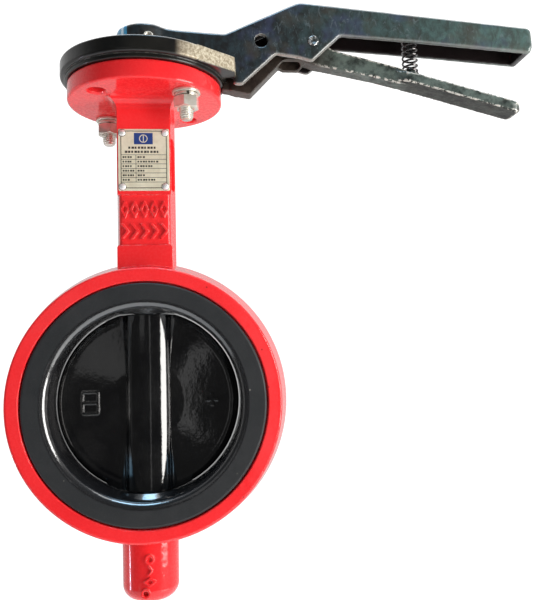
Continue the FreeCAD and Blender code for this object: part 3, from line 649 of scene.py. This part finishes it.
def spring_washer_shape(node):
    """Split washer: one turn of square wire whose ends stand slightly apart."""
    low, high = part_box(node)
    lift, gap = 0.30 * MM, 0.10                  # the gap is half the split, as an angle
    half_h = (high.z - low.z - lift) / 2
    outer = 6.8 * MM
    middle, half_w = (WASHER_HOLE_R + outer) / 2, (outer - WASHER_HOLE_R) / 2
    path = helix(middle, lambda t: low.z + half_h + lift * t, (TURN - 2 * gap) / TURN, 60, -TURN / 4 + gap)
    section = rounded_profile(box_outline(-half_w, half_w, -half_h, half_h), 0.25 * MM)
    return sweep(path, helix_frame(path), section)


def fastener_centres(node):
    """Centres of the node's two fasteners, to the front right and rear left of the stem."""
    low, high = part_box(node)
    centre = (low + high) / 2
    reach = (high.x - low.x) / 2 - solid_half_width(node, 1)
    return [Vector((centre.x + s * reach, centre.y - s * reach, 0)) for s in (1, -1)]


def fastener_set(node, shape, material, turns):
    """One detailed copy at each of the node's two places, each turned by its own angle."""
    for name, centre, turn in zip(("front", "rear"), fastener_centres(node), turns):
        copy = shape(node).moved(Matrix.Translation(centre) @ Matrix.Rotation(math.radians(turn), 4, "Z"))
        new_piece(f"{node}_{name}", copy, material, "valve_body", (node,))


def hub_screw(material):
    """Socket set screw in the hub: cupped crown round a hexagon socket."""
    low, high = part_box("hub_screw")
    outwards = Vector(((low.x + high.x) / 2, (low.y + high.y) / 2, 0)).normalized()
    along = [v.co.dot(outwards) for v in frame["nodes"]["hub_screw"].data.vertices]
    start, end = min(along), max(along)
    shank = (high.z - low.z) / 2
    socket = hex_radius(3.0 * MM)
    profile = [(shank * 0.7, start), (shank, start + 1.0 * MM), (shank, end - 0.9 * MM),
               (shank * 0.93, end - 0.3 * MM), (shank * 0.80, end), (shank * 0.66, end - 0.05 * MM),
               (socket, end - 0.35 * MM), (socket, end - 3.0 * MM)]
    screw = lathe(profile, 72).moved(pointing(outwards, Vector((0, 0, (low.z + high.z) / 2))))
    new_piece("hub_set_screw", screw, material, "lever_set", ("hub_screw",))


def pivot_pin(material):
    """Cross pin whose two ends are peened over into ragged heads with a punched centre."""
    low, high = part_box("pivot_pin")
    centre = (low + high) / 2
    half, head_r, shank_r = (high.y - low.y) / 2, (high.x - low.x) / 2, 2.6 * MM
    wall = 12.0 * MM                             # the lever's side faces

    def ragged(base, amount):
        """Radius that falls short of base by up to a share of it, unevenly round the pin."""
        def radius(angle):
            place = Vector((3 * math.cos(angle), 3 * math.sin(angle), base * 900))
            return base * (1 - amount * (0.5 + 0.5 * noise.noise(place)))
        return radius

    def head(side):
        return [(shank_r, side * (wall - 0.2 * MM)), (ragged(head_r, 0.16), side * (wall + 0.05 * MM)),
                (ragged(head_r * 0.93, 0.14), side * (half - 0.35 * MM)),
                (ragged(head_r * 0.72, 0.10), side * half),
                (head_r * 0.46, side * (half - 0.30 * MM)), (head_r * 0.16, side * (half - 0.95 * MM))]

    pin = lathe(head(-1)[::-1] + head(1), 40).moved(pointing(Y_AXIS, Vector((centre.x, 0, centre.z))))
    new_piece("peened_pivot_pin", pin, material, "lever_set", ("pivot_pin",))


def return_spring(material):
    """Coil with closed end turns, in the model's frame and carried by no body."""
    low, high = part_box("return_spring")
    centre, outer = (low + high) / 2, (high.x - low.x) / 2
    wire_r, sides = 0.62 * MM, 10
    turns, closed_turns, steps = 9.0, 1.0, 288
    lead = closed_turns / turns

    def z_at(t):
        ramp = min(max((t - lead) / (1 - 2 * lead), 0.0), 1.0)
        end_rise = 2 * wire_r * (min(t / lead, 1.0) + max((t - 1 + lead) / lead, 0.0))
        return low.z + wire_r + end_rise + ramp * (high.z - low.z - 6 * wire_r)

    path = helix(outer - wire_r, z_at, turns, steps)
    section = [(wire_r * math.cos(TURN * k / sides), wire_r * math.sin(TURN * k / sides))
               for k in range(sides)]
    coil = sweep(path, helix_frame(path), section).moved(Matrix.Translation((centre.x, centre.y, 0)))
    piece = new_piece("return_spring_coil", coil, material, None, ("return_spring",))
    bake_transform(piece)


# ---- nameplate ----------------------------------------------------------------------------
PLATE_LOW, PLATE_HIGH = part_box("nameplate")
PRINT_FRONT, PRINT_BACK = PLATE_LOW.y - 0.04 * MM, PLATE_LOW.y + 0.02 * MM
PLATE_BEVEL = 0.12 * MM
BORDER = {"left": 0.055, "right": 0.945, "top": 0.035, "foot": 0.955}     # as on_plate takes them
HEAVY, THIN, HEADING, ENTRY = 0.46 * MM, 0.30 * MM, 1.30 * MM, 1.05 * MM  # weights of strokes
TABLE_TOP, ROW_PITCH, ENTRY_DROP = 0.42, 0.0735, 0.037
COLUMN, VALUES_START = 0.345, 0.375
HEADING_ROWS = ((0.305, 9), (0.372, 11))                                  # height and dashes
TABLE_ROWS = ((4, 3), (4, 8), (4, 6), (5, 3), (5, 3), (3, 7))             # dashes in each column


def on_plate(u, v):
    """X and Z of a place on the plate, as shares of its width from the left and its height from the top."""
    return (PLATE_LOW.x + (PLATE_HIGH.x - PLATE_LOW.x) * u,
            PLATE_HIGH.z - (PLATE_HIGH.z - PLATE_LOW.z) * v)


def strip(x0, x1, z0, z1, front, back):
    """Upright strip between two depths, as a small closed box with a narrower front."""
    build = Build()
    inset = min(0.03 * MM, (x1 - x0) / 4, (z1 - z0) / 4)
    rear = build.ring([(x, back, z) for x, z in box_outline(x0, x1, z0, z1)])
    fore = build.ring([(x, front, z) for x, z in box_outline(x0 + inset, x1 - inset, z0 + inset, z1 - inset)])
    return build.close([rear, fore])


def stroke(u0, v0, u1, v1, weight):
    """Printed line of a weight between two places on the plate, across it or up it."""
    (x0, z0), (x1, z1) = on_plate(u0, v0), on_plate(u1, v1)
    across = abs(x1 - x0) > abs(z1 - z0)
    grow_x, grow_z = (0, weight / 2) if across else (weight / 2, 0)
    return strip(min(x0, x1) - grow_x, max(x0, x1) + grow_x, min(z0, z1) - grow_z, max(z0, z1) + grow_z,
                 PRINT_FRONT, PRINT_BACK)


def dash_row(v, start, count, pitch, weight):
    """Short strokes in place of words, each a little longer or shorter than the last."""
    row = Build()
    for k in range(count):
        length = pitch * (0.72 + 0.14 * math.sin(2.3 * k + 19 * v))
        row.join(stroke(start + k * pitch, v, start + k * pitch + length, v, weight))
    return row


def flat_ring(inner, outer, rise, sides, place):
    """Ring that stands on the plate's front by rise round a place."""
    section = [(inner, 0), (outer, 0), (outer, rise), (inner, rise)]
    return lathe(section, sides, closed=True).moved(pointing(-Y_AXIS, place))


def nameplate_sheet(material):
    """The plate itself, with rounded corners and a narrow bevel round its face."""
    centre = (PLATE_LOW + PLATE_HIGH) / 2
    outline = rounded_profile(box_outline(PLATE_LOW.x, PLATE_HIGH.x, PLATE_LOW.z, PLATE_HIGH.z), 0.8 * MM, 4)
    inner = [(x + math.copysign(PLATE_BEVEL, centre.x - x), z + math.copysign(PLATE_BEVEL, centre.z - z))
             for x, z in outline]
    levels = ((outline, PLATE_HIGH.y), (outline, PLATE_LOW.y + PLATE_BEVEL), (inner, PLATE_LOW.y))
    sheet = Build()
    sheet.close([sheet.ring([(x, y, z) for x, z in points]) for points, y in levels])
    new_piece("nameplate_sheet", sheet, material, "valve_body", ("nameplate",))


def nameplate_print_and_rivet_shade(material):
    """Border, two heading rows of dashes, a table whose cells hold dashes, and dark rings round the rivets as
    painted shadow.
    """
    left, right, top, foot = BORDER["left"], BORDER["right"], BORDER["top"], BORDER["foot"]
    ink = Build()
    for side in ((left, top, right, top), (left, foot, right, foot), (left, top, left, foot),
                 (right, top, right, foot)):
        ink.join(stroke(*side, HEAVY))
    rows = [TABLE_TOP + ROW_PITCH * k for k in range(len(TABLE_ROWS) + 1)]
    for v in rows:
        ink.join(stroke(left, v, right, v, THIN))
    ink.join(stroke(COLUMN, rows[0], COLUMN, rows[-1], THIN))
    for v, dashes in HEADING_ROWS:
        ink.join(dash_row(v, 0.5 - dashes * 0.0335, dashes, 0.062, HEADING))
    for row, (names, values) in zip(rows, TABLE_ROWS):
        ink.join(dash_row(row + ENTRY_DROP, left + 0.03, names, 0.048, ENTRY))
        ink.join(dash_row(row + ENTRY_DROP, VALUES_START, values, 0.052, ENTRY))
    # dark rings at the rivets' brims, in the ink's material: painted shadow
    inner, outer = rivet_radius() - 0.1 * MM, rivet_radius() + 0.22 * MM
    for x, z in rivet_centres():
        ink.join(flat_ring(inner, outer, 0.06 * MM, 32, Vector((x, PRINT_BACK, z))))
    new_piece("nameplate_print_and_rivet_shade", ink, material, "valve_body")


def nameplate_badge(field_material, sign_material):
    """Plain blue field with a plain sign on it: a circle with an upright bar."""
    (x0, z1), (x1, z0) = on_plate(0.31, 0.065), on_plate(0.68, 0.250)
    field = strip(x0, x1, z0, z1, PRINT_FRONT, PRINT_BACK)
    new_piece("nameplate_badge", field, field_material, "valve_body")
    radius = (z1 - z0) * 0.36
    base = PRINT_FRONT + 0.01 * MM
    middle = Vector(((x0 + x1) / 2, base, (z0 + z1) / 2))
    sign = flat_ring(radius * 0.80, radius, 0.04 * MM, 48, middle)
    sign.join(strip(middle.x - radius * 0.10, middle.x + radius * 0.10, middle.z - radius * 0.9,
                    middle.z + radius * 0.9, PRINT_FRONT - 0.03 * MM, base))
    new_piece("nameplate_sign", sign, sign_material, "valve_body")


def nameplate_rivets(material):
    """Domed rivets with a thin brim and a small flat on top."""
    face, radius = PLATE_LOW.y, rivet_radius()
    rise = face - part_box("nameplate_rivets")[0].y
    brim, steps = 0.25 * MM, 7
    profile = [(radius * 0.9, 0.0), (radius, 0.10 * MM), (radius * 0.96, brim)]
    for k in range(1, steps):
        angle = TURN / 4 * k / steps
        profile.append((radius * 0.90 * math.cos(angle), brim + (rise - 0.30 * MM) * math.sin(angle)))
    profile.append((radius * 0.12, rise))
    for k, (x, z) in enumerate(rivet_centres()):
        dome = lathe(profile, 32).moved(pointing(-Y_AXIS, Vector((x, face, z))))
        new_piece(f"nameplate_rivet_{k}", dome, material, "valve_body", ("nameplate_rivets",))


def rivet_centres():
    """X and Z of the middle of each rivet."""
    low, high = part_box("nameplate_rivets")
    radius = rivet_radius()
    return [(x, z) for x in (low.x + radius, high.x - radius) for z in (low.z + radius, high.z - radius)]


def rivet_radius():
    """Half the width of one rivet, from the left-hand ones."""
    return solid_half_width("nameplate_rivets", -1)


# ---- castings -----------------------------------------------------------------------------
LUMPS_PER_M, GRAINS_PER_M = 130, 420     # scales of the as-cast skin


def cast_copy(node, name, material, body, voxel, smoothing, roughness):
    """The node's shape with softened corners and a slightly uneven as-cast skin, kept inside its box."""
    source = bpy.data.objects.new(name + "_source", frame["nodes"][node].data.copy())
    bpy.context.scene.collection.objects.link(source)
    remesh = source.modifiers.new("remesh", "REMESH")
    remesh.mode = "VOXEL"
    remesh.voxel_size = voxel
    smooth = source.modifiers.new("smooth", "SMOOTH")
    smooth.factor = 0.5
    smooth.iterations = smoothing
    evaluated = source.evaluated_get(bpy.context.evaluated_depsgraph_get())
    mesh = bpy.data.meshes.new_from_object(evaluated)
    mesh.name = name
    bpy.data.objects.remove(source)
    low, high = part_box(node)
    moved = []
    for vertex in mesh.vertices:
        place = vertex.co
        push = noise.noise(place * LUMPS_PER_M) + 0.4 * noise.noise(place * GRAINS_PER_M)
        place = place + vertex.normal * push * roughness
        moved += [min(max(c, a), b) for c, a, b in zip(place, low, high)]
    mesh.vertices.foreach_set("co", moved)
    mesh.update()
    mesh.materials.clear()
    return finish_piece(name, mesh, material, body, (node,), 60.0)


# ---- stage --------------------------------------------------------------------------------
CAMERA_PLACE = (0.0342, -0.4020, 0.0315)
CAMERA_ROLL, CAMERA_YAW, CAMERA_PITCH = -1.02, -5.02, -3.65      # degrees from a level look along +Y
FOCAL_LENGTH = 1.1357                    # in heights of the picture, which is taller than it is wide

WHITE = (1.0, 1.0, 1.0)
LIGHTS = (      # name, place, aim, width and height, power in watts, colour
    ("overhead", (0.1, 0.5, 1.7), (0, 0.3, -0.4), (2.4, 2.0), 31, WHITE),
    ("right_window", (0.97, -0.52, 0.02), (0, 0, 0.02), (0.52, 0.90), 15, (1.0, 0.98, 0.95)),
    ("left_strip", (-1.0, 0.0, -0.43), (0, 0, -0.10), (0.04, 0.12), 0.8, (0.85, 0.80, 1.0)),
    ("skylight", (0.0, -0.35, 1.3), (0, 0, 0.0), (0.7, 0.40), 7, (0.36, 0.70, 1.0)),
    ("front_fill", (0.0, -1.3, 0.15), (0, 0, 0.05), (1.0, 1.0), 3.75, WHITE),
    ("left_card", (-0.38, -1.0, 0.30), (0, 0, 0.0), (0.36, 0.50), 0.14, WHITE),
    ("near_card", (0.140, -1.0, -0.05), (0, 0, 0.0), (0.06, 0.42), 0.035, WHITE),
)
UNMIRRORED = {"front_fill"}              # leaves no highlight on gloss

SURROUND_FRONT, SURROUND_BEYOND = 0.06, 0.64     # world's strength before and behind the valve
SURROUND_Y = (-0.45, 0.15)                       # directions between which it changes
BACKDROP = 1.2                                   # its strength where the camera sees it directly

FLOOR_DROP, FLOOR_HALF = 0.42, 0.9


def make_camera():
    """Camera before the valve, a little above and right of the pipe axis, turned slightly right and up."""
    def rotation(degrees, axis):
        return Matrix.Rotation(math.radians(degrees), 3, axis)

    forward_is_depth = Matrix(((1, 0, 0), (0, 0, -1), (0, 1, 0)))
    turned = rotation(CAMERA_ROLL, "Z") @ rotation(CAMERA_YAW, "Y") @ rotation(CAMERA_PITCH, "X")
    view = turned @ forward_is_depth
    turn = Matrix((view[0], -view[1], -view[2])).transposed()
    camera = bpy.data.cameras.new("camera")
    camera.sensor_width = 36
    camera.lens = FOCAL_LENGTH * camera.sensor_width
    camera.clip_start = 0.01
    holder = bpy.data.objects.new("camera", camera)
    holder.matrix_world = Matrix.Translation(CAMERA_PLACE) @ turn.to_4x4()
    bpy.context.scene.collection.objects.link(holder)
    bpy.context.scene.camera = holder


def make_lights():
    """Rectangular area lights that the camera doesn't see."""
    for name, place, aim, size, power, colour in LIGHTS:
        light = bpy.data.lights.new(name, "AREA")
        light.shape = "RECTANGLE"
        light.size, light.size_y = size
        light.energy = power
        light.color = colour
        holder = bpy.data.objects.new(name, light)
        backwards = Vector(place) - Vector(aim)
        turn = backwards.to_track_quat("Z", "Y").to_matrix().to_4x4()
        holder.matrix_world = Matrix.Translation(place) @ turn
        holder.visible_camera = False
        holder.visible_glossy = name not in UNMIRRORED
        bpy.context.scene.collection.objects.link(holder)


def make_world():
    """Pale surroundings, brighter beyond the valve than in front of it, and white to the camera itself."""
    world = bpy.data.worlds.new("studio")
    bpy.context.scene.world = world
    world.use_nodes = True
    nodes, links = world.node_tree.nodes, world.node_tree.links
    background = nodes["Background"]
    background.inputs["Color"].default_value = (*WHITE, 1.0)
    direction = nodes.new("ShaderNodeTexCoord")
    parts = nodes.new("ShaderNodeSeparateXYZ")
    ramp = nodes.new("ShaderNodeMapRange")
    links.new(direction.outputs["Generated"], parts.inputs[0])
    links.new(parts.outputs["Y"], ramp.inputs["Value"])
    ramp.inputs["From Min"].default_value, ramp.inputs["From Max"].default_value = SURROUND_Y
    ramp.inputs["To Min"].default_value = SURROUND_FRONT
    ramp.inputs["To Max"].default_value = SURROUND_BEYOND
    path = nodes.new("ShaderNodeLightPath")
    backdrop = nodes.new("ShaderNodeMath")
    backdrop.operation = "MULTIPLY"
    backdrop.inputs[1].default_value = BACKDROP
    links.new(path.outputs["Is Camera Ray"], backdrop.inputs[0])
    brighter = nodes.new("ShaderNodeMath")
    brighter.operation = "MAXIMUM"
    links.new(backdrop.outputs[0], brighter.inputs[0])
    links.new(ramp.outputs[0], brighter.inputs[1])
    links.new(brighter.outputs[0], background.inputs["Strength"])


def make_floor():
    """Plain pale floor well below the valve, which hangs over it."""
    z = CAD_BOX[0][2] - FLOOR_DROP
    corners = [(x, y, z) for x, y in box_outline(-FLOOR_HALF, FLOOR_HALF, -FLOOR_HALF, FLOOR_HALF)]
    mesh = bpy.data.meshes.new("floor")
    mesh.from_pydata(corners, [], [(0, 1, 2, 3)])
    floor = bpy.data.objects.new("floor", mesh)
    bpy.context.scene.collection.objects.link(floor)
    g = Graph("floor_paper", Metallic=0.0)
    fibre = g.noise(4 * MM, 3.0)
    g.height((0.05 * MM, fibre))
    mesh.materials.append(g.set(Base_Color=g.mix(fibre, (0.88, 0.88, 0.88), (0.92, 0.92, 0.91)),
                                Roughness=g.remap(fibre, 0.3, 0.7, 0.7, 0.8)))


def main():
    """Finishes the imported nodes, adds the detailed pieces, and sets the stage."""
    materials = make_materials()
    for part in frame["record"]["subparts"]:
        mesh = frame["nodes"][part["node"]].data
        mesh.materials.clear()
        mesh.materials.append(materials[part["material_slot"]])
    zinc = materials["zinc_plate"]
    fastener_set("plate_bolts", bolt_shape, zinc, (12, 47))
    fastener_set("plate_nuts", nut_shape, zinc, (22, 40))
    fastener_set("head_washers", washer_shape, zinc, (0, 0))
    fastener_set("flange_washers", washer_shape, zinc, (0, 0))
    fastener_set("spring_washers", spring_washer_shape, zinc, (10, 130))
    return_spring(materials["spring_steel"])
    hub_screw(zinc)
    pivot_pin(materials["pin_steel"])
    nameplate_sheet(materials["nameplate_alloy"])
    nameplate_print_and_rivet_shade(materials["plate_ink"])
    nameplate_badge(materials["badge_blue"], materials["nameplate_alloy"])
    nameplate_rivets(materials["rivet_alloy"])
    cast_copy("lever_handle", "lever_casting", materials["lever_paint"], "lever_set",
              voxel=0.7 * MM, smoothing=4, roughness=0.10 * MM)
    cast_copy("trigger", "trigger_casting", materials["trigger_paint"], "latch_trigger",
              voxel=0.6 * MM, smoothing=3, roughness=0.16 * MM)
    make_floor()
    make_world()
    make_lights()
    make_camera()
    bpy.context.scene.view_settings.view_transform = "Standard"


main()
